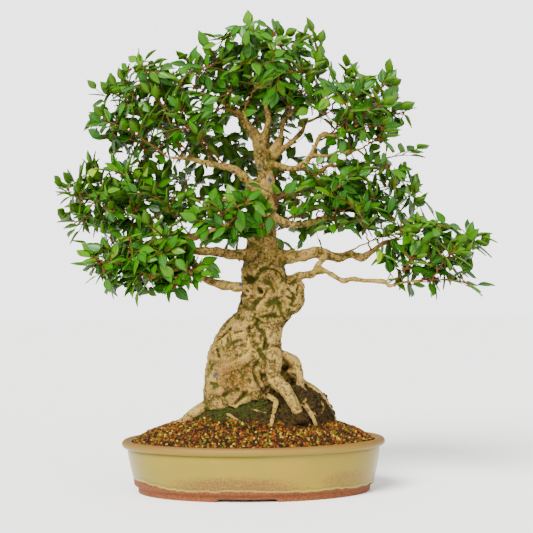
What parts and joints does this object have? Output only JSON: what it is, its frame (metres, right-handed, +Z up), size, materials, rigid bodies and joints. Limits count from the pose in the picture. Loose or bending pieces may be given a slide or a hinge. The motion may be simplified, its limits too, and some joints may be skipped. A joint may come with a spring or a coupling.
{
  "type": "korean hornbeam bonsai",
  "caption": "Old potted bonsai: burled leaning trunk with surface roots and tiers of small-leaved sprays, on a dark muck mound in granular soil in a shallow oval glazed pot.",
  "frame": {"origin": "on the ground under the middle of the whole tree's outline, at the level of the pot's foot", "axes": "+Z up, +X to the right along the pot's long axis as the tree's front is looked at, +Y away from the front to the back"},
  "size_m": [0.6708, 0.3798, 0.7227],
  "materials": {
    "glaze": "satin",
    "soil": "matte",
    "muck": "matte",
    "bark": "matte",
    "leaves": "satin",
    "mesh": "matte",
    "wire": "satin"
  },
  "bodies": {
    "root": {"drain_mesh_left": "mesh", "drain_mesh_right": "mesh", "mesh_clip_left": "wire", "mesh_clip_right": "wire", "peat_mound": "muck", "pot": "glaze", "soil": "soil", "spray_back_high_1": "leaves", "spray_back_high_2": "leaves", "spray_back_left_1": "leaves", "spray_back_left_2": "leaves", "spray_back_low_1": "leaves", "spray_back_low_2": "leaves", "spray_back_right_1": "leaves", "spray_back_right_2": "leaves", "spray_front_high_1": "leaves", "spray_front_high_2": "leaves", "spray_front_left_1": "leaves", "spray_front_right_1": "leaves", "spray_leader_left_1": "leaves", "spray_leader_left_2": "leaves", "spray_leader_left_3": "leaves", "spray_leader_mid_1": "leaves", "spray_leader_mid_2": "leaves", "spray_leader_right_1": "leaves", "spray_leader_right_2": "leaves", "spray_left_bottom_1": "leaves", "spray_left_bottom_2": "leaves", "spray_left_low_1": "leaves", "spray_left_low_2": "leaves", "spray_left_low_3": "leaves", "spray_left_mid_1": "leaves", "spray_left_mid_2": "leaves", "spray_left_mid_3": "leaves", "spray_left_mid_4": "leaves", "spray_left_mid_5": "leaves", "spray_left_upper_1": "leaves", "spray_left_upper_2": "leaves", "spray_left_upper_3": "leaves", "spray_left_upper_4": "leaves", "spray_left_upper_5": "leaves", "spray_right_fork_1": "leaves", "spray_right_low_1": "leaves", "spray_right_low_2": "leaves", "spray_right_low_3": "leaves", "spray_right_main_1": "leaves", "spray_right_main_2": "leaves", "spray_right_main_3": "leaves", "spray_right_main_4": "leaves", "spray_right_mid_1": "leaves", "spray_right_mid_2": "leaves", "spray_right_mid_3": "leaves", "spray_right_top_1": "leaves", "spray_right_top_2": "leaves", "spray_right_under_1": "leaves", "spray_right_upper_1": "leaves", "spray_right_upper_2": "leaves", "spray_right_upper_3": "leaves", "trunk": "bark"}
  },
  "joints": []
}
